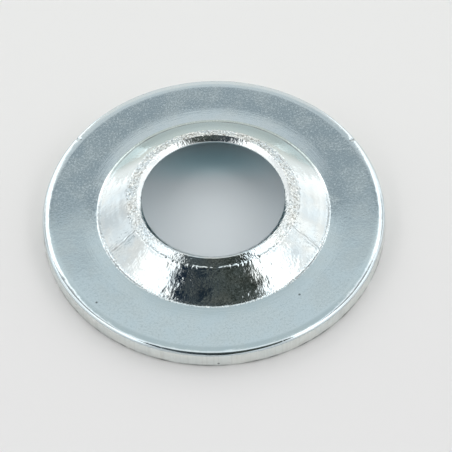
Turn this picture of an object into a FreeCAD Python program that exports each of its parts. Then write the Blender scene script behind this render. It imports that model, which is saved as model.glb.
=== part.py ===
"""Belleville washer of the bell type: a flat round flange with a hollow
bell drawn up in its middle and a bolt hole through the top of the bell.

It is one stamping of steel sheet. The blank was pierced first and the bell
was drawn afterwards, so the cut wall of the hole leans outward and shows
two zones round the hole: a smooth bevel next to the bore, and a rougher
land outside it that falls away to the bell.

Frame: millimetres, +Z up along the bolt's axis. The origin is the centre
of the flange's underside, the face that the washer rests on.
"""
import FreeCAD, Part
import os
import Sketcher

doc = FreeCAD.newDocument("BellevilleWasher")

# Driving sizes, in millimetres
SIZES = [
    ("outer_diameter", 25.0, "across the flange"),
    ("sheet_thickness", 1.5, "of the flange, before it thins up the bell"),
    ("roll_width", 0.75, "how far in from the rim the top face starts to roll down"),
    ("roll_drop", 0.10, "how far the top face rolls down before the nose"),
    ("nose_radius", 0.25, "round where the rolled top turns into the cut wall"),
    ("break_radius", 0.10, "round on the lower corner of the rim"),
    ("bore_diameter", 10.4, "clearance hole for a 10 mm bolt"),
    ("bore_length", 0.15, "straight wall of the bore"),
    ("bevel_width", 0.40, "plan width of the smooth bevel round the bore"),
    ("bevel_drop", 0.36, "how far the bevel falls from the ridge to the bore"),
    ("land_width", 0.66, "plan width of the rough land outside the ridge"),
    ("land_drop", 0.38, "how far the land falls from the ridge to the bell"),
    ("ridge_radius", 0.10, "round on top of the ridge"),
    ("bell_run", 2.16, "plan width of the bell's slope, corner to corner"),
    ("bell_rise", 1.65, "height of the bell's slope, corner to corner"),
    ("foot_radius", 0.45, "blend from the flange's top into the bell"),
    ("draw_share", 0.32, "share of the flange's width that the drawing pulled up"),
    ("draw_rise", 0.05, "how far that part of the flange was pulled up"),
]

sheet = doc.addObject("Spreadsheet::Sheet", "Sizes")
for row, (alias, value, note) in enumerate(SIZES, start=1):
    sheet.set(f"A{row}", alias)
    sheet.set(f"B{row}", str(value))
    sheet.set(f"C{row}", note)
    sheet.setAlias(f"B{row}", alias)
doc.recompute()

body = doc.addObject("PartDesign::Body", "Washer")
body.Label = "washer"

# Half section of the washer, right of the axis
section = body.newObject("Sketcher::SketchObject", "Section")
xz_plane = next(f for f in body.Origin.OriginFeatures if f.Role == "XZ_Plane")
section.AttachmentSupport = [(xz_plane, "")]
section.MapMode = "FlatFace"

# A first guess at each corner: the constraints below put it in its place
START = {
    "rim_low": (12.5, 0.0),
    "rim_high": (12.5, 1.4),
    "roll_middle": (12.15, 1.48),
    "roll_top": (11.7, 1.5),
    "draw_start": (9.7, 1.5),
    "draw_middle": (9.05, 1.51),
    "foot": (8.4, 1.55),
    "land_edge": (6.3, 3.2),
    "ridge": (5.6, 3.6),
    "bore_top": (5.2, 3.2),
    "bore_low": (5.2, 3.1),
    "mouth": (7.8, 0.0),
}


def corner(name):
    """First-guess position of a named corner of the section."""
    x, z = START[name]
    return FreeCAD.Vector(x, z, 0)


def straight(first, last):
    """Add one straight side of the section and return its number."""
    return section.addGeometry(Part.LineSegment(corner(first), corner(last)))


underside = straight("mouth", "rim_low")
rim_wall = straight("rim_low", "rim_high")
rim_roll = section.addGeometry(
    Part.Arc(corner("rim_high"), corner("roll_middle"), corner("roll_top")))
flange_top = straight("roll_top", "draw_start")
# An arc runs anticlockwise, so this one starts at the flange's flat top
draw_in = section.addGeometry(
    Part.Arc(corner("foot"), corner("draw_middle"), corner("draw_start")))
bell_outside = straight("foot", "land_edge")
land = straight("land_edge", "ridge")
bevel = straight("ridge", "bore_top")
bore_wall = straight("bore_top", "bore_low")
bell_inside = straight("bore_low", "mouth")

# How the section counts the ends of a side, its origin and its level line
START_POINT, END_POINT = range(1, 3)
FLOOR_LINE = -1
ORIGIN = (FLOOR_LINE, START_POINT)


def rule(kind, *where):
    """Add a geometric rule to the section."""
    section.addConstraint(Sketcher.Constraint(kind, *where))


def measure(kind, name, expression, *where):
    """Add a named size to the section and tie it to the sheet."""
    index = section.addConstraint(Sketcher.Constraint(kind, *where, 1.0))
    section.renameConstraint(index, name)
    section.setExpression(f"Constraints.{name}", expression)


# The sides join end to end, and both arcs leave the flat top face smoothly
rule("Coincident", underside, END_POINT, rim_wall, START_POINT)
rule("Coincident", rim_wall, END_POINT, rim_roll, START_POINT)
rule("Tangent", rim_roll, END_POINT, flange_top, START_POINT)
rule("Tangent", flange_top, END_POINT, draw_in, END_POINT)
rule("Coincident", draw_in, START_POINT, bell_outside, START_POINT)
rule("Coincident", bell_outside, END_POINT, land, START_POINT)
rule("Coincident", land, END_POINT, bevel, START_POINT)
rule("Coincident", bevel, END_POINT, bore_wall, START_POINT)
rule("Coincident", bore_wall, END_POINT, bell_inside, START_POINT)
rule("Coincident", bell_inside, END_POINT, underside, START_POINT)
rule("PointOnObject", underside, START_POINT, FLOOR_LINE)
rule("Horizontal", underside)
rule("Horizontal", flange_top)
rule("Vertical", rim_wall)
rule("Vertical", bore_wall)

# Plan sizes run outward from the bore, so the bell grows with its hole
BORE_RADIUS = "Sizes.bore_diameter / 2"
FOOT_RADIUS = f"{BORE_RADIUS} + Sizes.bevel_width + Sizes.land_width + Sizes.bell_run"
measure("DistanceX", "bore_radius", BORE_RADIUS, *ORIGIN, bore_wall, START_POINT)
measure("DistanceX", "bevel_width", "Sizes.bevel_width", bevel, END_POINT, bevel, START_POINT)
measure("DistanceX", "land_width", "Sizes.land_width", land, END_POINT, land, START_POINT)
measure("DistanceX", "bell_run", "Sizes.bell_run",
        bell_outside, END_POINT, bell_outside, START_POINT)
measure("DistanceX", "draw_width",
        f"(Sizes.outer_diameter / 2 - ({FOOT_RADIUS})) * Sizes.draw_share",
        bell_outside, START_POINT, flange_top, END_POINT)
measure("DistanceX", "rim_radius", "Sizes.outer_diameter / 2", *ORIGIN, rim_wall, START_POINT)
measure("DistanceX", "roll_width", "Sizes.roll_width",
        flange_top, START_POINT, rim_wall, END_POINT)

# Heights: the sheet, the roll at the rim, the bell and the hole's lip
measure("DistanceY", "sheet_thickness", "Sizes.sheet_thickness",
        *ORIGIN, flange_top, START_POINT)
measure("DistanceY", "roll_drop", "Sizes.roll_drop", rim_wall, END_POINT, flange_top, START_POINT)
measure("DistanceY", "draw_rise", "Sizes.draw_rise",
        flange_top, END_POINT, bell_outside, START_POINT)
measure("DistanceY", "bell_rise", "Sizes.bell_rise",
        bell_outside, START_POINT, bell_outside, END_POINT)
measure("DistanceY", "land_drop", "Sizes.land_drop", land, START_POINT, land, END_POINT)
measure("DistanceY", "bevel_drop", "Sizes.bevel_drop", bevel, END_POINT, bevel, START_POINT)
measure("DistanceY", "bore_length", "Sizes.bore_length",
        bore_wall, END_POINT, bore_wall, START_POINT)

# The mouth of the hollow under the bell: one sheet thickness behind the bend
BELL_ANGLE = "atan(Sizes.bell_rise / Sizes.bell_run)"
MOUTH_RADIUS = f"{FOOT_RADIUS} - Sizes.sheet_thickness * tan({BELL_ANGLE} / 2)"
measure("DistanceX", "mouth_radius", MOUTH_RADIUS, *ORIGIN, underside, START_POINT)
doc.recompute()

# The stamping: the section turned once round the bolt's axis
stamping = body.newObject("PartDesign::Revolution", "Stamping")
stamping.Profile = section
stamping.ReferenceAxis = (section, ["V_Axis"])
stamping.Angle = 360.0
doc.recompute()


def rings_at(feature, side, point):
    """Names of the circular edges that one corner of the section swept."""
    spot = section.getPoint(side, point)
    names = []
    for number, edge in enumerate(feature.Shape.Edges, start=1):
        curve = edge.Curve
        if not isinstance(curve, Part.Circle):
            continue
        if abs(curve.Radius - spot.x) < 1e-4 and abs(curve.Center.z - spot.y) < 1e-4:
            names.append(f"Edge{number}")
    if not names:
        raise RuntimeError(f"no ring found for the corner at {spot}")
    return names


def blend(base, name, side, point, expression):
    """Round the ring that one corner of the section swept."""
    fillet = body.newObject("PartDesign::Fillet", name)
    fillet.Base = (base, rings_at(base, side, point))
    fillet.setExpression("Radius", expression)
    doc.recompute()
    return fillet


# The bend: its inner radius is on top, its outer radius is under the sheet
foot = blend(stamping, "FootBlend", bell_outside, START_POINT, "Sizes.foot_radius")
mouth = blend(foot, "MouthBlend", underside, START_POINT,
              "Sizes.foot_radius + Sizes.sheet_thickness")
# Small rounds that tumbling and plating leave on the cut corners
nose = blend(mouth, "RimNose", rim_wall, END_POINT, "Sizes.nose_radius")
rim_break = blend(nose, "RimBreak", rim_wall, START_POINT, "Sizes.break_radius")
ridge = blend(rim_break, "RidgeRound", land, END_POINT, "Sizes.ridge_radius")
body.Tip = ridge
doc.recompute()

# Nothing is written unless every feature and the finished solid are sound
for thing in doc.Objects:
    if "Invalid" in thing.State or "Error" in thing.State:
        raise RuntimeError(f"{thing.Label} did not build: {thing.State}")
if section.solve() != 0 or not section.FullyConstrained:
    raise RuntimeError("the section is not fully constrained")
if body.Shape.isNull() or not body.Shape.isValid() or len(body.Shape.Solids) != 1:
    raise RuntimeError("the washer is not one valid solid")

os.makedirs("parts", exist_ok=True)
body.Shape.exportStep(os.path.join("parts", body.Label + ".step"))
box = body.Shape.optimalBoundingBox()
print(f"{body.Label}: {box.XLength:.3f} x {box.YLength:.3f} x {box.ZLength:.3f} mm,"
      f" volume {body.Shape.Volume:.2f} mm3")
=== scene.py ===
# %% [markdown]
# A bell-type belleville washer, zinc plated, on a pale table. On the real
# thing one blow of a press cuts the round blank, another pierces the bolt
# hole, and a third draws the bell up round the hole. The CAD model gives the
# exact section. Here the same section is made again as a finer mesh, because
# bright metal mirrors the studio and every flat facet would show. Then come
# the marks of the press, the plating and the light.

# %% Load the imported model
import math
import bmesh
import bpy
from mathutils import Matrix, Vector, noise


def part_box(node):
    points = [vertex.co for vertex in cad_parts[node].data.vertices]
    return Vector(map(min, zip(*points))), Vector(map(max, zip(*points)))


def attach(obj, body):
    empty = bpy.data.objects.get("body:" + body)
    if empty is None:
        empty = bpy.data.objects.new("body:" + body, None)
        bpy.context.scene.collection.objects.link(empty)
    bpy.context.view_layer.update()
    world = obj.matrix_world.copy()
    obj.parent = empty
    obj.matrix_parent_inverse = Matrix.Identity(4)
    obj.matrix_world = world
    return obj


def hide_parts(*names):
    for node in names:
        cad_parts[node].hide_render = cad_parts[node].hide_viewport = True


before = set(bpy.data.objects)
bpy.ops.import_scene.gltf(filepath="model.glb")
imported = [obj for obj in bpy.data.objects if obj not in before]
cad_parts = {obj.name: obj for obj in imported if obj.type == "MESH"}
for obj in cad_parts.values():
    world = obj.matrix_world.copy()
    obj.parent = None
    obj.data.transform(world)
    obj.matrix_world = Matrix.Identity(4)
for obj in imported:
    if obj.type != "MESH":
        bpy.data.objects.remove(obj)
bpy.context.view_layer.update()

# %% [markdown]
# The washer is only 25 mm across, and Blender's tools have limits that suit
# things the size of a chair: noise can't be finer than a tenth of a
# millimetre, and merging would join the rings of a tiny round. So the piece
# is modelled a thousand times too large, one unit for a millimetre, and is
# scaled down when its shape is done. The sizes are those of the CAD model.

# %% The section's sizes, in millimetres
MM_PER_METRE = 1000
RIM_RADIUS = 12.5
SHEET = 1.5
ROLL_WIDTH = 0.75
ROLL_DROP = 0.10
FOOT_RADIUS = 8.42
DRAW_SHARE = 0.32
DRAW_WIDTH = DRAW_SHARE * (RIM_RADIUS - FOOT_RADIUS)
DRAW_RISE = 0.05
LAND_RADIUS = 6.26
LAND_TOP = 3.2
RIDGE_RADIUS = 5.6
RIDGE_TOP = 3.58
BORE_RADIUS = 5.2
BORE_TOP = 3.22
BORE_LOW = 3.07
VERTICES_ROUND = 640
FOOT_TOP = SHEET + DRAW_RISE
bell_angle = math.atan2(LAND_TOP - FOOT_TOP, FOOT_RADIUS - LAND_RADIUS)
MOUTH_RADIUS = FOOT_RADIUS - SHEET * math.tan(bell_angle / 2)
low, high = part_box("washer")
print("CAD washer in mm:", [round(v * MM_PER_METRE, 3) for v in (*low, *high)])

# %% [markdown]
# Small helpers. An operator works on what is selected, so each step clears
# the selection and then picks rings by their radius and height. A ring is
# one loop of vertices round the axis; a band is the strip between two rings.

# %% Helpers that pick rings
CLOSE = 0.004


def spot(vertex):
    """Radius and height of a vertex, in millimetres."""
    return math.hypot(vertex.co.x, vertex.co.y), vertex.co.z


def edit_mesh():
    """The active piece's mesh in edit mode."""
    mesh = bmesh.from_edit_mesh(bpy.context.object.data)
    mesh.verts.ensure_lookup_table()
    return mesh


def pick_vertices(test):
    """Select only the vertices whose radius and height pass the test."""
    bpy.ops.mesh.select_all(action="DESELECT")
    mesh = edit_mesh()
    for vertex in mesh.verts:
        vertex.select = test(*spot(vertex))
    mesh.select_flush_mode()
    mesh.select_flush(True)
    bmesh.update_edit_mesh(bpy.context.object.data)


def pick_ring(radius, height):
    """Select one ring of edges."""
    pick_vertices(lambda r, z: abs(r - radius) < CLOSE and abs(z - height) < CLOSE)


# %% [markdown]
# The skin is drawn ring by ring, as a potter pulls up a wall. A circle is
# the lower corner of the rim. It is extruded up the cut wall, over the
# rolled edge, in across the flange, up the bell, over the lip of the hole
# and back down inside. A bridge closes the last ring with the first. A spin
# of a drawn section would do as well, but ring by ring each corner stays
# easy to find again. The rolled edge and the part that the drawing pulled up
# are shallow arcs that leave the flat top smoothly.

# %% The rings of the section


def arc_rings(flat_radius, width, drop, radii):
    """Rings on an arc that leaves the flat top at flat_radius and drops or
    rises by drop over the given width."""
    curve = (width ** 2 + drop ** 2) / (2 * abs(drop))
    points = []
    for radius in radii:
        sag = curve - math.sqrt(curve ** 2 - (radius - flat_radius) ** 2)
        points.append((radius, SHEET - math.copysign(sag, drop)))
    return points


roll = arc_rings(RIM_RADIUS - ROLL_WIDTH, ROLL_WIDTH, ROLL_DROP,
                 [RIM_RADIUS, 12.25, 12.19, 12.13, 12.07, 12.01, 11.95, 11.89, 11.82,
                  RIM_RADIUS - ROLL_WIDTH])
draw = arc_rings(FOOT_RADIUS + DRAW_WIDTH, DRAW_WIDTH, -DRAW_RISE,
                 [FOOT_RADIUS + DRAW_WIDTH, 9.6, 9.48, 9.36, 9.24, 9.12, 9.0, 8.88, 8.76,
                  FOOT_RADIUS])
rings = [(RIM_RADIUS, 0.0), *roll, *draw, (LAND_RADIUS, LAND_TOP),
         (RIDGE_RADIUS, RIDGE_TOP), (BORE_RADIUS, BORE_TOP),
         (BORE_RADIUS, BORE_LOW), (MOUTH_RADIUS, 0.0)]
print("rings in the section:", len(rings))

# %% Pull the skin up ring by ring
bpy.ops.object.select_all(action="DESELECT")
bpy.ops.mesh.primitive_circle_add(
    vertices=VERTICES_ROUND, radius=RIM_RADIUS, fill_type="NOTHING")
washer = bpy.context.object
washer.name = "pressed_washer"
washer.data.name = "pressed_washer"
bpy.ops.object.mode_set(mode="EDIT")
for (radius, height), (new_radius, new_height) in zip(rings, rings[1:]):
    pick_ring(radius, height)
    bpy.ops.mesh.extrude_region_move(
        TRANSFORM_OT_translate={"value": (0, 0, new_height - height)})
    grow = new_radius / radius
    bpy.ops.transform.resize(value=(grow, grow, 1), center_override=(0, 0, new_height))
pick_vertices(lambda r, z: abs(z) < CLOSE)
bpy.ops.mesh.bridge_edge_loops()
bpy.ops.mesh.select_all(action="SELECT")
bpy.ops.mesh.normals_make_consistent(inside=False)
print("vertices in the bare skin:", len(edit_mesh().verts))

# %% [markdown]
# A press never leaves a sharp bend, and plating rounds every cut corner a
# little. Each ring that is a corner gets a bevel. The offset of a round is
# its radius times the tangent of half the turn.

# %% Round the bends and the cut corners
FOOT_ROUND = 0.45
NOSE_ROUND = 0.25
BREAK_ROUND = 0.10
RIDGE_ROUND = 0.10
BORE_TOP_ROUND = 0.05
BORE_LOW_ROUND = 0.04


def round_ring(radius, height, curve, turn_degrees, segments):
    """Bevel the ring at a corner into a round of the given radius."""
    pick_ring(radius, height)
    offset = curve * math.tan(math.radians(turn_degrees) / 2)
    bpy.ops.mesh.bevel(offset=offset, segments=segments, profile=0.5, affect="EDGES")


def slope(first, last):
    """Angle in degrees between the level and the line through two corners."""
    return math.degrees(math.atan2(abs(last[1] - first[1]), abs(last[0] - first[0])))


bell_slope = slope((FOOT_RADIUS, FOOT_TOP), (LAND_RADIUS, LAND_TOP))
land_slope = slope((LAND_RADIUS, LAND_TOP), (RIDGE_RADIUS, RIDGE_TOP))
bevel_slope = slope((RIDGE_RADIUS, RIDGE_TOP), (BORE_RADIUS, BORE_TOP))
hollow_slope = slope((BORE_RADIUS, BORE_LOW), (MOUTH_RADIUS, 0))
draw_slope = slope(draw[-2], draw[-1])
roll_slope = slope(roll[0], roll[1])
round_ring(FOOT_RADIUS, FOOT_TOP, FOOT_ROUND, bell_slope - draw_slope, 7)
round_ring(MOUTH_RADIUS, 0.0, FOOT_ROUND + SHEET, hollow_slope, 10)
round_ring(RIM_RADIUS, SHEET - ROLL_DROP, NOSE_ROUND, 90 - roll_slope, 7)
round_ring(RIM_RADIUS, 0.0, BREAK_ROUND, 90, 4)
round_ring(RIDGE_RADIUS, RIDGE_TOP, RIDGE_ROUND, land_slope + bevel_slope, 5)
round_ring(BORE_RADIUS, BORE_TOP, BORE_TOP_ROUND, 90 - bevel_slope, 2)
round_ring(BORE_RADIUS, BORE_LOW, BORE_LOW_ROUND, 90 + hollow_slope, 2)
print("slopes in degrees: bell", round(bell_slope, 1), "land", round(land_slope, 1),
      "bevel", round(bevel_slope, 1), "hollow", round(hollow_slope, 1),
      "roll", round(roll_slope, 1), "draw", round(draw_slope, 1))

# %% [markdown]
# The long straight bands are still one strip each. They are cut into more
# rings, closest where the metal is roughest, so that the marks of the press
# can be real relief in the mesh. A band is found by a test of radius and
# height on both ends of its edges, since the bevels have moved its rings.

# %% How one band is cut
LONG_EDGE = 0.2


def ring_list():
    """Radius and height of every ring in the mesh, without repeats."""
    return sorted({(round(r, 3), round(z, 3)) for r, z in map(spot, edit_mesh().verts)})


def cut_band(test, cuts):
    """Cut each long edge whose two ends pass the test into equal lengths."""
    bpy.ops.mesh.select_all(action="DESELECT")
    mesh = edit_mesh()
    for edge in mesh.edges:
        (r1, z1), (r2, z2) = (spot(v) for v in edge.verts)
        length = math.dist((r1, z1), (r2, z2))
        edge.select = length > LONG_EDGE and test(r1, z1) and test(r2, z2)
    bmesh.update_edit_mesh(bpy.context.object.data)
    bpy.ops.mesh.subdivide(number_cuts=cuts, smoothness=0)


# %% Which band an edge is in


def on_bell(r, z):
    """True on the bell's outer slope."""
    return LAND_RADIUS - CLOSE < r < FOOT_RADIUS and z > FOOT_TOP


def on_land(r, z):
    """True on the land outside the ridge."""
    return RIDGE_RADIUS + CLOSE < r < LAND_RADIUS + CLOSE and z > LAND_TOP - CLOSE


def on_bevel(r, z):
    """True on the smooth bevel inside the ridge."""
    return r < RIDGE_RADIUS - CLOSE and z > BORE_TOP - CLOSE


def on_flange(r, z):
    """True on the flat top of the flange."""
    return r > FOOT_RADIUS + DRAW_WIDTH - CLOSE and abs(z - SHEET) < CLOSE


def on_wall(r, z):
    """True on the cut wall of the rim."""
    return abs(r - RIM_RADIUS) < CLOSE


def on_underside(r, z):
    """True on the flat face that the washer rests on."""
    return r > MOUTH_RADIUS and abs(z) < CLOSE


def in_hollow(r, z):
    """True on the slope under the bell."""
    return r < MOUTH_RADIUS and z < BORE_LOW + CLOSE


# %% Cut the bands into rings
cut_band(on_bell, 23)
cut_band(on_land, 12)
cut_band(on_bevel, 7)
cut_band(on_flange, 15)
cut_band(on_wall, 9)
cut_band(in_hollow, 9)
cut_band(on_underside, 12)
print("rings now:", len(ring_list()), "vertices:", len(edit_mesh().verts))

# %% [markdown]
# Last come the joins. Points that fell on each other are merged, all faces
# are turned outward, and the skin is shaded smooth.

# %% Finish the plain shape
bpy.ops.mesh.select_all(action="SELECT")
bpy.ops.mesh.remove_doubles(threshold=CLOSE / 2)
bpy.ops.mesh.normals_make_consistent(inside=False)
bpy.ops.mesh.faces_shade_smooth()
bpy.ops.object.mode_set(mode="OBJECT")
print("faces:", len(washer.data.polygons))

# %% [markdown]
# Now the marks that a press leaves. They are real relief in the mesh, each a
# few hundredths of a millimetre deep at most, because bright metal shows
# every one of them. A sculpting brush would need a window, so noise does its
# work: each vertex is moved along its normal by a sum of small patterns. Only
# the torn land and the cut wall are rough. The rest is nearly smooth, since
# it touched polished tools.

# %% Noise that follows the washer's turning
CREASE_TURNS = (-64.7, 64.7)
NICK_TURNS = (-126.0, 121.5)


def around(vertex, across, along):
    """A point for noise that is drawn out along the section: fine round the
    axis and slow from ring to ring. It closes on itself round the washer."""
    r, z = spot(vertex)
    turn = Vector((vertex.co.x, vertex.co.y, 0)).normalized() * r
    return Vector((turn.x / across, turn.y / across, (r * 0.8 + z) / along))


def smooth_step(low_end, high_end, value):
    """0 below the low end, 1 above the high end, smooth between."""
    share = min(max((value - low_end) / (high_end - low_end), 0.0), 1.0)
    return share * share * (3 - 2 * share)


def groove(vertex, degrees, width):
    """1 along an upright line at the given turn from the front, 0 beside it."""
    r, z = spot(vertex)
    turn = math.atan2(vertex.co.x, -vertex.co.y) - math.radians(degrees)
    wander = 0.08 * noise.noise(Vector((degrees, r / 0.5, z / 0.5)))
    return math.exp(-((turn * r + wander) / width) ** 2)


def grooves(vertex, turns, width):
    """The sum of the grooves at several turns."""
    return sum(groove(vertex, degrees, width) for degrees in turns)


# %% [markdown]
# Each mark is a small function that says how far a vertex moves out, in
# millimetres. These four are for the bell and the lip of its hole.

# %% The land, the bell, its foot and the bevel


def land_mark(vertex, r):
    """The land was torn as the punch broke through: pits, and a broken step."""
    fine = noise.noise(vertex.co / 0.13)
    broad = noise.noise(vertex.co / 0.34 + Vector((7, 3, 1)))
    edge = LAND_RADIUS + 0.09 * noise.noise(vertex.co / 0.4)
    lip = math.exp(-((r - edge) / (0.062 + 0.02 * noise.noise(vertex.co / 0.2))) ** 2)
    start = RIDGE_RADIUS - 0.04 + 0.07 * noise.noise(vertex.co / 0.25)
    rough = smooth_step(start, start + 0.09, r)
    rough *= 1 - smooth_step(LAND_RADIUS + 0.02, LAND_RADIUS + 0.1, r)
    broken = noise.noise(around(vertex, 0.14, 4.0)) + 0.5 * noise.noise(around(vertex, 0.8, 4.0))
    broken = smooth_step(-0.4, 0.15, broken)
    calm = smooth_step(-4.5, -2.0, vertex.co.y) * 0.8 + 0.2
    return rough * calm * (0.024 * fine + 0.012 * broad - 0.02) + 0.044 * lip * broken


def bell_mark(vertex, r):
    """Drawing over the punch leaves fine streaks that run up the slope."""
    inside = smooth_step(FOOT_RADIUS - 0.1, FOOT_RADIUS - 0.5, r)
    streak = noise.noise(around(vertex, 0.28, 3.5))
    slow = noise.noise(around(vertex, 1.3, 5.0) + Vector((0, 0, 9)))
    dent = noise.noise(vertex.co / 0.9)
    ring = noise.noise(Vector((vertex.co.x / 6, vertex.co.y / 6, r / 0.35)))
    front = 1 - smooth_step(-5.0, -3.0, vertex.co.y)
    side = smooth_step(-5.0, -3.0, vertex.co.y) * (1 - smooth_step(1.0, 5.0, vertex.co.y))
    crease = grooves(vertex, CREASE_TURNS, 0.06)
    return inside * ((0.001 + 0.002 * front) * streak + (0.010 + 0.006 * side) * slow
                     + 0.006 * dent + (0.002 + 0.010 * side) * ring - 0.05 * crease)


def foot_mark(vertex, r):
    """The bend at the foot is a little lumpy, where the sheet crept inward."""
    near = math.exp(-((r - FOOT_RADIUS) / 0.16) ** 2)
    return near * (0.006 * noise.noise(vertex.co / 0.2) - 0.004)


def bevel_mark(vertex, r):
    """The bevel round the bore is not quite straight in section: it bulges."""
    share = min(max((r - BORE_RADIUS) / (RIDGE_RADIUS - BORE_RADIUS), 0.0), 1.0)
    return 0.012 * math.sin(math.pi * share) + 0.006 * share * noise.noise(vertex.co / 0.2)


# %% [markdown]
# The rim was sheared when the blank was cut out, so its wall is scored
# upright, and torn lower down where the metal gave way. The flange has only
# very shallow waves, which is what makes its mirror image swim a little.

# %% The cut wall, the flange and the rolled edge


def wall_mark(vertex, z):
    """The rim was sheared: the upper part is scored upright, the lower torn."""
    score = noise.noise(around(vertex, 0.16, 6.0))
    torn = noise.noise(vertex.co / 0.22)
    low_part = 1 - smooth_step(0.25, 0.6, z)
    return -0.012 + 0.009 * score - low_part * 0.016 * abs(torn)


def flange_mark(vertex):
    """The flat flange is not quite flat: broad, very shallow waves."""
    broad = noise.noise(vertex.co / 3.1)
    middle = noise.noise(vertex.co / 1.1 + Vector((5, 5, 5)))
    return 0.004 * broad + 0.0006 * middle - 0.004


def rim_mark(vertex):
    """The rolled edge carries small knocks, and two nicks near the back."""
    knock = min(0.0, noise.noise(vertex.co / 0.7 + Vector((2, 0, 0))) + 0.1)
    depth = 0.012 * knock + 0.004 * noise.noise(vertex.co / 0.4)
    return depth - 0.05 * grooves(vertex, NICK_TURNS, 0.07)


# %% [markdown]
# Shade is painted into the creases, the nicks, the bend at the back of the
# foot and low on the rim, where the washer meets the table: darker colour
# stands in for the shade that falls there. How dark each vertex is goes into
# the mesh as an attribute, which the coats read later.

# %% Painted shade lines


def painted_shade_share(vertex):
    """How much painted shade a vertex takes: in the bend at the back of the
    foot, the creases, the nicks, and a painted contact shadow low on the rim."""
    r, z = spot(vertex)
    # Painted shade in the bend of the foot, darker towards the back.
    if abs(r - FOOT_RADIUS + 0.13) < 0.07 and vertex.co.y > 2.0 and z > SHEET:
        return smooth_step(2.0, 6.0, vertex.co.y) * (0.45 + 0.5 * noise.noise(vertex.co / 0.6))
    # Painted shadow in the two creases of the bell.
    if LAND_RADIUS < r < FOOT_RADIUS and z > FOOT_TOP:
        faint = 0.55 + 0.6 * noise.noise(vertex.co / 0.4)
        left, right = CREASE_TURNS
        return faint * (groove(vertex, left, 0.05) + 0.7 * groove(vertex, right, 0.05))
    # Painted shade in the two nicks of the rim.
    if r > RIM_RADIUS - 0.5 and z > 1.0:
        return 0.8 * grooves(vertex, NICK_TURNS, 0.05)
    # Painted contact shadow low on the rim, where it meets the table.
    if r > RIM_RADIUS - 0.12 and z < 0.2:
        return (1 - smooth_step(0.02, 0.2, z)) * (0.5 + 1.0 * noise.noise(vertex.co / 0.6))
    return 0.0


# %% [markdown]
# Now the marks are added up and every vertex is moved once. None may rise
# above the CAD model's top, so a low ceiling is kept there.

# %% Move the vertices
HIGHEST = high[2] * MM_PER_METRE - 0.0005
DARKEST = 0.9


def mark_depth(vertex):
    """How far a vertex moves out along its normal: the sum of its marks."""
    r, z = spot(vertex)
    up = vertex.normal.z
    depth = 0.0
    if up > 0 and z > BORE_LOW + 0.05 and RIDGE_RADIUS - 0.05 < r < LAND_RADIUS + 0.12:
        depth += land_mark(vertex, r)
    if up > 0 and z > FOOT_TOP and LAND_RADIUS < r < FOOT_RADIUS:
        depth += bell_mark(vertex, r) * smooth_step(LAND_RADIUS, LAND_RADIUS + 0.15, r)
    if up > 0 and abs(r - FOOT_RADIUS) < 0.4:
        depth += foot_mark(vertex, r)
    if up > 0 and z > BORE_TOP and r < RIDGE_RADIUS:
        depth += bevel_mark(vertex, r)
    if r > RIM_RADIUS - 0.02 and 0.08 < z < SHEET - 0.3:
        depth += wall_mark(vertex, z)
    if up > 0.7 and r > FOOT_RADIUS + 0.2:
        depth += flange_mark(vertex) * smooth_step(FOOT_RADIUS + 0.2, FOOT_RADIUS + 1.2, r)
    if r > RIM_RADIUS - 0.6 and z > SHEET - 0.35:
        near_edge = smooth_step(RIM_RADIUS - 0.5, RIM_RADIUS - 0.2, r)
        depth += min(0.0, rim_mark(vertex) * near_edge)
    return depth


bpy.ops.object.mode_set(mode="EDIT")
mesh = edit_mesh()
painted_shade_line = mesh.verts.layers.float.new("painted_shade_line")
deepest = 0.0
for vertex in mesh.verts:
    depth = mark_depth(vertex)
    vertex[painted_shade_line] = min(max(painted_shade_share(vertex), 0.0), DARKEST)
    vertex.co += vertex.normal * depth
    vertex.co.z = min(vertex.co.z, HIGHEST)
    deepest = min(deepest, depth)
bmesh.update_edit_mesh(washer.data)
bpy.ops.object.mode_set(mode="OBJECT")
print("deepest mark in mm:", round(deepest, 3))

# %% [markdown]
# The shape is done, so one unit becomes one millimetre again. Applying the
# scale leaves the piece at the origin, unturned and unscaled.

# %% Bring the piece down to its real size
washer.scale = (1 / MM_PER_METRE,) * 3
bpy.ops.object.transform_apply(location=True, rotation=True, scale=True)
print("size in mm:", [round(v * MM_PER_METRE, 3) for v in washer.dimensions])

# %% [markdown]
# Zinc plating is a thin bright metal coat with a faint blue tint. It is the
# same coat everywhere, but it copies what is under it: the flange is finely
# grained, the bell is burnished and streaked by the drawing, the land is
# torn, and the wall is scored. So one function makes the coat, and each zone
# gets its own grain. The grain is bump, since it is finer than the mesh.

# %% Helpers for nodes


def link_value(tree, value, socket):
    """Feed a socket from another socket, or set it to a plain value."""
    if isinstance(value, bpy.types.NodeSocket):
        tree.links.new(value, socket)
    else:
        socket.default_value = value


def calc(tree, operation, *values):
    """Add one Math node and return its result."""
    node = tree.nodes.new("ShaderNodeMath")
    node.operation = operation
    for value, socket in zip(values, node.inputs):
        link_value(tree, value, socket)
    return node.outputs[0]


def vector_calc(tree, operation, *values):
    """Add one Vector Math node and return it."""
    node = tree.nodes.new("ShaderNodeVectorMath")
    node.operation = operation
    for value, socket in zip(values, node.inputs):
        link_value(tree, value, socket)
    return node


# %% Helpers for steps, mixes and noise


def fade(tree, value, start, end, first=0.0, last=1.0):
    """Turn a value into a smooth step from first to last."""
    node = tree.nodes.new("ShaderNodeMapRange")
    node.interpolation_type = "SMOOTHSTEP"
    link_value(tree, value, node.inputs["Value"])
    node.inputs["From Min"].default_value = start
    node.inputs["From Max"].default_value = end
    node.inputs["To Min"].default_value = first
    node.inputs["To Max"].default_value = last
    return node.outputs["Result"]


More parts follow.
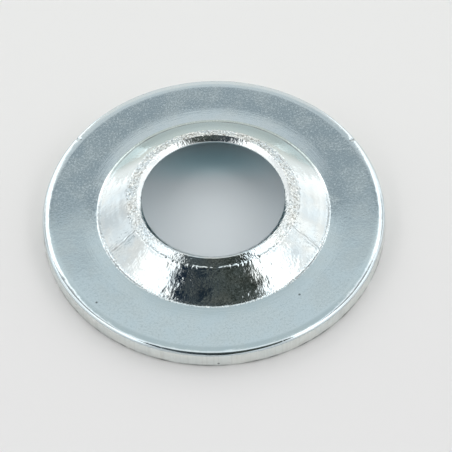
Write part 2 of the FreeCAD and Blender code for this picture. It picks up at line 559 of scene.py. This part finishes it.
def blend_colours(tree, share, first, last):
    """Mix two colours by a share from 0 to 1."""
    node = tree.nodes.new("ShaderNodeMix")
    node.data_type = "RGBA"
    link_value(tree, share, node.inputs["Factor"])
    for value, name in ((first, "A_Color"), (last, "B_Color")):
        socket = next(i for i in node.inputs if i.identifier == name)
        link_value(tree, value, socket)
    return next(o for o in node.outputs if o.identifier == "Result_Color")


def grain(tree, vector, size, detail=2.0):
    """Noise whose lumps are about the given size, in the vector's units."""
    node = tree.nodes.new("ShaderNodeTexNoise")
    tree.links.new(vector, node.inputs["Vector"])
    node.inputs["Scale"].default_value = 1.0 / size
    node.inputs["Detail"].default_value = detail
    return node.outputs["Fac"]


def specks(tree, vector, size, spread):
    """Round dots scattered at random, each with its own strength."""
    node = tree.nodes.new("ShaderNodeTexVoronoi")
    tree.links.new(vector, node.inputs["Vector"])
    node.inputs["Scale"].default_value = 1.0 / size
    strength = tree.nodes.new("ShaderNodeSeparateColor")
    tree.links.new(node.outputs["Color"], strength.inputs[0])
    strength = calc(tree, "POWER", strength.outputs[0], spread)
    near = fade(tree, node.outputs["Distance"], 0.15, 0.45, 1.0, 0.0)
    return calc(tree, "MULTIPLY", near, strength)


# %% [markdown]
# A coat is built from a few parts: where a point of the washer lies, the
# bumps of its grain, how dull it is, and its colour. Each part is a helper
# of its own, and the coat itself only puts them together.

# %% Where a point of the washer lies


def washer_place(tree):
    """A point in millimetres, its direction from the axis, its radius and Y."""
    place = tree.nodes.new("ShaderNodeTexCoord").outputs["Object"]
    in_mm = vector_calc(tree, "SCALE", place)
    in_mm.inputs["Scale"].default_value = MM_PER_METRE
    in_mm = in_mm.outputs[0]
    parts = tree.nodes.new("ShaderNodeSeparateXYZ")
    tree.links.new(in_mm, parts.inputs[0])
    flat = vector_calc(tree, "MULTIPLY", in_mm, (1, 1, 0)).outputs[0]
    turn = vector_calc(tree, "NORMALIZE", flat).outputs[0]
    radius = vector_calc(tree, "LENGTH", flat).outputs["Value"]
    return in_mm, turn, radius, parts.outputs["Y"]


# %% The grain of a coat


def up_the_section(tree, turn, radius):
    """A vector that makes noise fine round the axis and slow up the section."""
    wide = vector_calc(tree, "MULTIPLY", turn, (7, 7, 0)).outputs[0]
    slow = tree.nodes.new("ShaderNodeCombineXYZ")
    tree.links.new(calc(tree, "MULTIPLY", radius, 0.7), slow.inputs["Z"])
    return vector_calc(tree, "ADD", wide, slow.outputs[0]).outputs[0]


def ring_marks(tree, turn, radius):
    """Marks that run round the axis, clear by the foot and faint outside it."""
    across = tree.nodes.new("ShaderNodeCombineXYZ")
    tree.links.new(radius, across.inputs["Z"])
    swing = vector_calc(tree, "MULTIPLY", turn, (0.5, 0.5, 0)).outputs[0]
    turned = vector_calc(tree, "ADD", swing, across.outputs[0]).outputs[0]
    pattern = grain(tree, turned, 0.09, 3.0)
    return calc(tree, "MULTIPLY", pattern, fade(tree, radius, 9.2, 10.2, 1.0, 0.06))


def stack_bumps(tree, heights, share):
    """One Bump node on another, for each pattern and its height in millimetres."""
    normal = None
    for pattern, height in heights:
        node = tree.nodes.new("ShaderNodeBump")
        node.inputs["Strength"].default_value = 1.0
        node.inputs["Distance"].default_value = height / MM_PER_METRE
        tree.links.new(calc(tree, "MULTIPLY", pattern, share), node.inputs["Height"])
        if normal is not None:
            tree.links.new(normal, node.inputs["Normal"])
        normal = node.outputs["Normal"]
    return normal


def dullness(tree, in_mm, cloud, speck):
    """0 where the coat is bright and 1 where it is dull, in clouds and dots."""
    fine = fade(tree, grain(tree, in_mm, speck, 2.0), 0.4, 0.75)
    dull = calc(tree, "MULTIPLY", fine, 0.5)
    dull = calc(tree, "MULTIPLY_ADD", fade(tree, cloud, 0.3, 0.7), 0.22, dull)
    return calc(tree, "MULTIPLY_ADD", specks(tree, in_mm, speck * 1.3, 6.0), 0.7, dull)


# %% The colour of a coat
COOL = (0.585, 0.672, 0.712, 1)
PLAIN = (0.612, 0.682, 0.702, 1)
# Painted light: the paler colour beside the hole.
PAINTED_SIDE_LIGHT = (0.87, 0.94, 0.945, 1)
PIT = (0.24, 0.23, 0.19, 1)
SPARK = (0.90, 0.93, 0.90, 1)
# Dark colour for the single dark spots and for the painted shade lines.
DARK_SPOT_AND_PAINTED_SHADE = (0.08, 0.09, 0.09, 1)
# Painted light and shade behind the hole: pale green by the land, darker green out to the foot.
PALE_GREEN_PAINTED_LIGHT = (0.680, 0.745, 0.715, 1)
GREEN_PAINTED_SHADE = (0.450, 0.530, 0.520, 1)
BROWNISH = (0.660, 0.685, 0.665, 1)


def painted_light_round_hole(tree, colour, y, radius, back_painted_light):
    """Painted light round the hole: paler beside it, and behind it the two greener back colours,
    which stand in for how the tent's light falls and mirrors there.
    """
    colour = blend_colours(tree, fade(tree, y, 0.8, 2.4), colour, PAINTED_SIDE_LIGHT)
    back_colour = blend_colours(tree, fade(tree, radius, 6.3, 7.9), *back_painted_light)
    return blend_colours(tree, fade(tree, y, 3.0, 4.4), colour, back_colour)


def flecks_and_pits(tree, colour, in_mm, size, share):
    """Bright flecks on the lumps of one noise and dark pits between them."""
    lumps = grain(tree, in_mm, size, 3.0)
    bright = calc(tree, "MULTIPLY", fade(tree, lumps, 0.36, 0.47, 0.8, 0.0), share)
    colour = blend_colours(tree, bright, colour, SPARK)
    dark = calc(tree, "MULTIPLY", fade(tree, lumps, 0.54, 0.65, 0.0, 0.6), share)
    return blend_colours(tree, dark, colour, PIT)


def dark_marks(tree, colour, in_mm, spots):
    """The single dark spots, and the painted shade lines that the mesh carries."""
    for where in spots:
        gap = vector_calc(tree, "DISTANCE", in_mm, where).outputs["Value"]
        colour = blend_colours(tree, fade(tree, gap, 0.04, 0.12, 0.8, 0.0), colour, DARK_SPOT_AND_PAINTED_SHADE)
    # Painted shade: the darker lines in the creases, nicks, foot bend and low rim.
    lines = tree.nodes.new("ShaderNodeAttribute")
    lines.attribute_name = "painted_shade_line"
    return blend_colours(tree, lines.outputs["Fac"], colour, DARK_SPOT_AND_PAINTED_SHADE)


# %% One coat of zinc


def zinc_coat(name, grains, streak=0.0, rings=0.0, roughness=(0.08, 0.12), speck=0.14,
              tint=0.3, tints=(COOL, PLAIN), back_painted_light=None, pits=None, spots=(), score=0.0,
              front=1.0, rest=1.0, back=1.0):
    """One finish of the plating. grains lists the size and height of each
    bump in millimetres; streak and rings are the heights of marks that run
    up the section and round it; speck is the size of the duller dots; tint
    is how far the colour varies between the tints; the back pair of colours
    is a painted light behind the hole, from the land out to the foot, with a
    paler painted light beside the hole; pits is the size of the dark pits and
    spots lists single ones; score is the strength of the dark scores that run
    up the section; front, rest and back scale the marks in front of the hole,
    beside it and behind it."""
    coat = bpy.data.materials.new(name)
    coat.use_nodes = True
    tree = coat.node_tree
    shader = tree.nodes["Principled BSDF"]
    shader.inputs["Metallic"].default_value = 1.0
    in_mm, turn, radius, y = washer_place(tree)
    share = calc(tree, "MULTIPLY", fade(tree, y, -5.0, -2.5, front, rest),
                 fade(tree, y, 3.0, 5.0, 1.0, back))
    heights = [(grain(tree, in_mm, size), height) for size, height in grains]
    if streak:
        drawn = up_the_section(tree, turn, radius)
        patchy = fade(tree, grain(tree, in_mm, 0.8, 2.0), 0.35, 0.65, 0.4, 1.3)
        heights.append((calc(tree, "MULTIPLY", grain(tree, drawn, 0.16, 4.0), patchy), streak))
    if rings:
        heights.append((ring_marks(tree, turn, radius), rings))
    tree.links.new(stack_bumps(tree, heights, share), shader.inputs["Normal"])
    cloud = grain(tree, in_mm, 1.7, 3.0)
    dull = dullness(tree, in_mm, cloud, speck)
    tree.links.new(fade(tree, dull, 0.0, 1.0, *roughness), shader.inputs["Roughness"])
    colour = blend_colours(tree, fade(tree, cloud, 0.35, 0.65, 0.5 - tint, 0.5 + tint), *tints)
    # Painted light: paler beside the hole, greener behind it.
    if back_painted_light:
        colour = painted_light_round_hole(tree, colour, y, radius, back_painted_light)
    if pits:
        colour = flecks_and_pits(tree, colour, in_mm, pits, share)
    if score:
        scored = grain(tree, up_the_section(tree, turn, radius), 0.10, 3.0)
        colour = blend_colours(tree, fade(tree, scored, 0.45, 0.7, 0.0, score), colour, PIT)
    colour = dark_marks(tree, colour, in_mm, spots)
    tree.links.new(colour, shader.inputs["Base Color"])
    print(name, "bump layers:", len(heights), "nodes:", len(tree.nodes))
    return coat


# %% [markdown]
# Seven zones, seven coats. The colours differ little, because it is one
# plating. What differs is the grain, the light it keeps, and how much painted
# shade it carries.

# %% The finish of each zone
FINISHES = {
    "zinc_flange": {
        "grains": [(0.13, 0.0012), (0.3, 0.0010)], "rings": 0.005, "roughness": (0.07, 0.26),
        "speck": 0.15, "tint": 0.35, "spots": [(-8.52, -7.75, 1.5), (5.99, -7.55, 1.5)]},
    # The foot and the bell take a painted light round the hole: paler beside it, greener behind
    # it.
    "zinc_foot": {
        "grains": [(0.10, 0.008), (0.2, 0.006)], "roughness": (0.10, 0.3),
        "back_painted_light": (GREEN_PAINTED_SHADE, GREEN_PAINTED_SHADE), "pits": 0.12, "rest": 0.6, "back": 0.4},
    "zinc_bell": {
        "grains": [(0.12, 0.0014)], "streak": 0.018, "roughness": (0.04, 0.16), "speck": 0.22,
        "tints": (COOL, BROWNISH), "back_painted_light": (PALE_GREEN_PAINTED_LIGHT, GREEN_PAINTED_SHADE), "rest": 0.5},
    "zinc_land": {
        "grains": [(0.11, 0.06), (0.22, 0.04)], "roughness": (0.06, 0.2), "tint": 0.5,
        "tints": (COOL, BROWNISH), "pits": 0.18, "front": 0.16, "back": 1.5},
    "zinc_lip": {
        "grains": [(0.14, 0.012)], "streak": 0.018, "roughness": (0.05, 0.14),
        "tints": ((0.70, 0.75, 0.76, 1), (0.76, 0.80, 0.80, 1))},
    "zinc_wall": {
        "grains": [(0.12, 0.02)], "streak": 0.06, "roughness": (0.28, 0.45),
        "tints": ((0.84, 0.89, 0.88, 1), (0.89, 0.91, 0.88, 1)),
        "spots": [(0.08, -12.5, 0.31)], "score": 0.08},
    "zinc_under": {
        "grains": [(0.15, 0.005), (0.5, 0.006)], "roughness": (0.12, 0.26),
        "tints": ((0.50, 0.61, 0.66, 1), (0.55, 0.64, 0.67, 1))},
}
names = list(FINISHES)
for name, settings in FINISHES.items():
    washer.data.materials.append(zinc_coat(name, **settings))

# %% [markdown]
# Each face takes the coat of the zone that it lies in. The border between
# the lip and the land wanders a little, as a torn edge does.

# %% Give each face the coat of its zone
WALL_TOP = SHEET - 0.3
FOOT_HALF = 0.22


def zone(centre, up):
    """Which finish a face has, from its place in millimetres and its normal."""
    radius, height = math.hypot(centre.x, centre.y), centre.z
    ridge = RIDGE_RADIUS - 0.05 + 0.09 * noise.noise(centre / 0.25)
    if radius > RIM_RADIUS - 0.08 and height < WALL_TOP:
        return "zinc_wall"
    if radius < BORE_RADIUS + 0.02 or (radius < ridge and up > 0):
        return "zinc_lip"
    if up <= 0:
        return "zinc_under"
    if radius < LAND_RADIUS:
        return "zinc_land"
    if radius < FOOT_RADIUS - FOOT_HALF:
        return "zinc_bell"
    if radius < FOOT_RADIUS + FOOT_HALF:
        return "zinc_foot"
    return "zinc_flange"


counts = dict.fromkeys(names, 0)
for face in washer.data.polygons:
    finish = zone(face.center * MM_PER_METRE, face.normal.z)
    face.material_index = names.index(finish)
    counts[finish] += 1
print("faces in each finish:", counts)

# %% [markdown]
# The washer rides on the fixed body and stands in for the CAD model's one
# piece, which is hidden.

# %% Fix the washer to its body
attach(washer, "root")
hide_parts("washer")

# %% [markdown]
# The table is a sheet of matt white paper. A painted shade makes it a little
# greyer towards the camera, as a light tent would light it. A painted
# reflection and shadow of the bell make the paper bluish where the bell stands
# over it, darker and bluer behind the hole. The table lies a hundredth of a
# millimetre low, so that no two faces share one plane.

# %% The table
TABLE_SIZE = 0.6
TABLE_DROP = 0.00001
bpy.ops.object.select_all(action="DESELECT")
bpy.ops.mesh.primitive_plane_add(size=TABLE_SIZE, location=(0, 0, -TABLE_DROP))
table = bpy.context.object
table.name = "table"
paper = bpy.data.materials.new("matt_paper")
paper.use_nodes = True
tree = paper.node_tree
shader = tree.nodes["Principled BSDF"]
shader.inputs["Roughness"].default_value = 0.55
place = tree.nodes.new("ShaderNodeTexCoord").outputs["Object"]
parts = tree.nodes.new("ShaderNodeSeparateXYZ")
tree.links.new(place, parts.inputs[0])
# Painted shade: the paper is made a little darker towards the camera.
depth = fade(tree, parts.outputs["Y"], -0.016, 0.016)
paper_and_painted_light = blend_colours(tree, depth, (0.812, 0.805, 0.803, 1), (0.836, 0.835, 0.825, 1))
from_centre = vector_calc(tree, "LENGTH", place).outputs["Value"]
# Painted reflection and shadow of the bell: the paper under it is bluish, darker and bluer behind
# the hole.
painted_reflection_share = fade(tree, from_centre, 0.005, 0.009, 1.0, 0.0)
deep = fade(tree, parts.outputs["Y"], 0.0035, 0.0068)
painted_reflection_and_shadow = blend_colours(tree, deep, (0.785, 0.83, 0.855, 1), (0.50, 0.79, 0.86, 1))
paper_and_painted_light = blend_colours(tree, painted_reflection_share, paper_and_painted_light, painted_reflection_and_shadow)
tree.links.new(paper_and_painted_light, shader.inputs["Base Color"])
table.data.materials.append(paper)

# %% [markdown]
# Bright metal looks like what it mirrors, so the studio matters as much as
# the plating. It is a light tent: a pale ceiling, a back wall with a narrow
# seam under the ceiling, two brighter side walls, and a dark opening in
# front, where the lens looks in. All of it is drawn in the world's nodes, by
# direction: x to the right, y to the back and z up.

# %% Directions in the tent
world = bpy.data.worlds.new("light_tent")
bpy.context.scene.world = world
world.use_nodes = True
tree = world.node_tree
sight = tree.nodes.new("ShaderNodeTexCoord").outputs["Generated"]
parts = tree.nodes.new("ShaderNodeSeparateXYZ")
tree.links.new(sight, parts.inputs[0])
x, y = parts.outputs["X"], parts.outputs["Y"]
z = calc(tree, "MAXIMUM", parts.outputs["Z"], 0.02)
aside = calc(tree, "ABSOLUTE", x)
side_lean = calc(tree, "DIVIDE", aside, z)
back_lean = calc(tree, "DIVIDE", y, z)
to_back = calc(tree, "DIVIDE", y, calc(tree, "MAXIMUM", aside, 0.01))


def product(*values):
    """Multiply any number of values."""
    result = values[0]
    for value in values[1:]:
        result = calc(tree, "MULTIPLY", result, value)
    return result


def window(value, first, low_end, high_end, last):
    """1 between the two inner limits, 0 outside the two outer ones."""
    return product(fade(tree, value, first, low_end), fade(tree, value, high_end, last, 1.0, 0.0))


# %% [markdown]
# The side walls are the main lamps. They are brightest half way up, where a
# lamp shines through the cloth, and the cloth hangs a little unevenly. They
# are weaker to the front, and the right wall is a little stronger than the
# left one beside the washer. The folded hem low on each wall is dim, and so
# are the corners where the side walls meet the back.

# %% The side walls
cloth = grain(tree, sight, 0.4, 1.0)
right_gain = calc(tree, "MULTIPLY_ADD", fade(tree, x, 0.15, 0.4),
                  fade(tree, to_back, 1.0, 1.5, 0.13, -0.12), 1.0)
wall_light = product(fade(tree, side_lean, 1.1, 1.6, 1.95, 1.2),
                     fade(tree, cloth, 0.3, 0.7, 0.84, 1.26),
                     fade(tree, to_back, 0.82, 1.0, 0.9, 1.0),
                     fade(tree, to_back, -1.4, -0.85, 0.55, 1.0), right_gain)
hem = product(window(side_lean, 0.32, 0.38, 0.80, 0.92),
              window(back_lean, -0.04, 0.06, 0.50, 0.62))
corner = product(window(side_lean, 0.42, 0.58, 1.6, 2.2), fade(tree, back_lean, 0.55, 0.8),
                 fade(tree, y, 0.60, 0.68, 1.0, 0.0))
dim = calc(tree, "MULTIPLY_ADD", hem, -0.75, 1.0)
dim = calc(tree, "MULTIPLY_ADD", corner, -0.55, dim)
wall_light = product(wall_light, dim)
side_wall = tree.nodes.new("ShaderNodeCombineColor")
for socket in side_wall.inputs:
    link_value(tree, wall_light, socket)

# %% [markdown]
# Overhead is the ceiling with a lamp's panel in it. It is a little dimmer
# further forward. Behind the panel comes the dark seam that greys the back of
# the flange, and then the back wall, which is dimmer low down on the right.

# %% The ceiling, its panel, the seam and the back wall
PANEL = (1.15, 1.17, 1.17, 1)
SEAM = (0.37, 0.42, 0.445, 1)
ceiling = blend_colours(tree, fade(tree, back_lean, 0.50, 0.68), (0.64, 0.70, 0.71, 1),
                        (0.81, 0.87, 0.885, 1))
low_wall = blend_colours(tree, fade(tree, x, 0.04, 0.12), (0.80, 0.83, 0.84, 1),
                         (0.67, 0.71, 0.73, 1))
back_wall = blend_colours(tree, fade(tree, back_lean, 1.12, 1.35), low_wall,
                          (1.01, 0.99, 0.96, 1))
colour = blend_colours(tree, window(back_lean, -0.08, -0.01, 0.20, 0.30), ceiling, PANEL)
colour = blend_colours(tree, fade(tree, back_lean, 0.72, 0.75), colour, SEAM)
colour = blend_colours(tree, fade(tree, back_lean, 0.82, 0.86), colour, back_wall)

# %% [markdown]
# The side walls reach from the opening almost to the middle of the back. They
# narrow towards the back, and each has a thin upright seam.

# %% Where the side walls stand
past_middle = calc(tree, "MAXIMUM", calc(tree, "SUBTRACT", y, 0.6), 0.0)
reach = calc(tree, "MULTIPLY_ADD", past_middle, 1.5, side_lean)
beside = calc(tree, "SUBTRACT", calc(tree, "MULTIPLY", aside, 3.0), y)
is_side = product(fade(tree, reach, 0.24, 0.36), fade(tree, beside, -0.04, 0.06))
colour = blend_colours(tree, is_side, colour, side_wall.outputs[0])
off_seam = calc(tree, "ABSOLUTE", calc(tree, "SUBTRACT", to_back, 0.22))
upright = product(fade(tree, off_seam, 0.010, 0.024, 1.0, 0.0), is_side,
                  fade(tree, side_lean, 1.2, 1.5))
colour = blend_colours(tree, upright, colour, SEAM)

# %% [markdown]
# The opening in front is wider low down. Beyond it is the dim room, bluish on
# the left and brownish on the right, with a few paler things in it. It is
# what makes the front of the bell so dark.

# %% The opening
flare = calc(tree, "MULTIPLY_ADD", back_lean, 0.8, side_lean)
is_opening = product(fade(tree, side_lean, 0.74, 0.84, 1.0, 0.0),
                     fade(tree, flare, 0.20, 0.29, 1.0, 0.0),
                     fade(tree, back_lean, -0.12, -0.05, 1.0, 0.0))
room = grain(tree, sight, 0.11, 3.0)
lit = product(fade(tree, room, 0.44, 0.64), fade(tree, back_lean, -1.15, -1.0))
opening = blend_colours(tree, fade(tree, x, -0.35, 0.25), (0.014, 0.026, 0.044, 1),
                        (0.026, 0.032, 0.026, 1))
opening = blend_colours(tree, lit, opening, (0.19, 0.205, 0.19, 1))
colour = blend_colours(tree, is_opening, colour, opening)
tree.links.new(colour, tree.nodes["Background"].inputs["Color"])
print("nodes in the tent:", len(tree.nodes))

# %% [markdown]
# The camera stands where the photo's lens stood. Its tilt and roll come from
# the ellipses of the rim, the foot and the hole, and its distance from how
# little the near edge grows.

# %% The camera
ELEVATION = math.radians(53.6)
ROLL = math.radians(1.6)
PIXELS = 452
MIDDLE = (PIXELS - 1) / 2
RIM_PIXELS = 171.3
MM_PER_PIXEL = RIM_RADIUS / RIM_PIXELS
DISTANCE_PIXELS = 3000
SPOT = (213.1, 211.6)
SENSOR = 36
back = Vector((0, -math.cos(ELEVATION), math.sin(ELEVATION)))
flat_up = Vector((0, math.sin(ELEVATION), math.cos(ELEVATION)))
right = Vector((1, 0, 0)) * math.cos(ROLL) - flat_up * math.sin(ROLL)
up = Vector((1, 0, 0)) * math.sin(ROLL) + flat_up * math.cos(ROLL)
distance = DISTANCE_PIXELS * MM_PER_PIXEL / MM_PER_METRE
per_pixel = MM_PER_PIXEL / MM_PER_METRE
aim = Vector((0, 0, SHEET / MM_PER_METRE))
place = (aim + back * distance - right * (SPOT[0] - MIDDLE) * per_pixel
         - up * (MIDDLE - SPOT[1]) * per_pixel)
lens = bpy.data.cameras.new("camera")
camera = bpy.data.objects.new("camera", lens)
bpy.context.scene.collection.objects.link(camera)
camera.matrix_world = Matrix.Translation(place) @ Matrix((right, up, back)).transposed().to_4x4()
lens.sensor_width = SENSOR
lens.lens = SENSOR * DISTANCE_PIXELS / PIXELS
lens.clip_start = 0.01
lens.clip_end = 5
bpy.context.scene.camera = camera
bpy.context.scene.view_settings.view_transform = "Standard"
print("camera at, in mm:", [round(v * MM_PER_METRE, 1) for v in place])
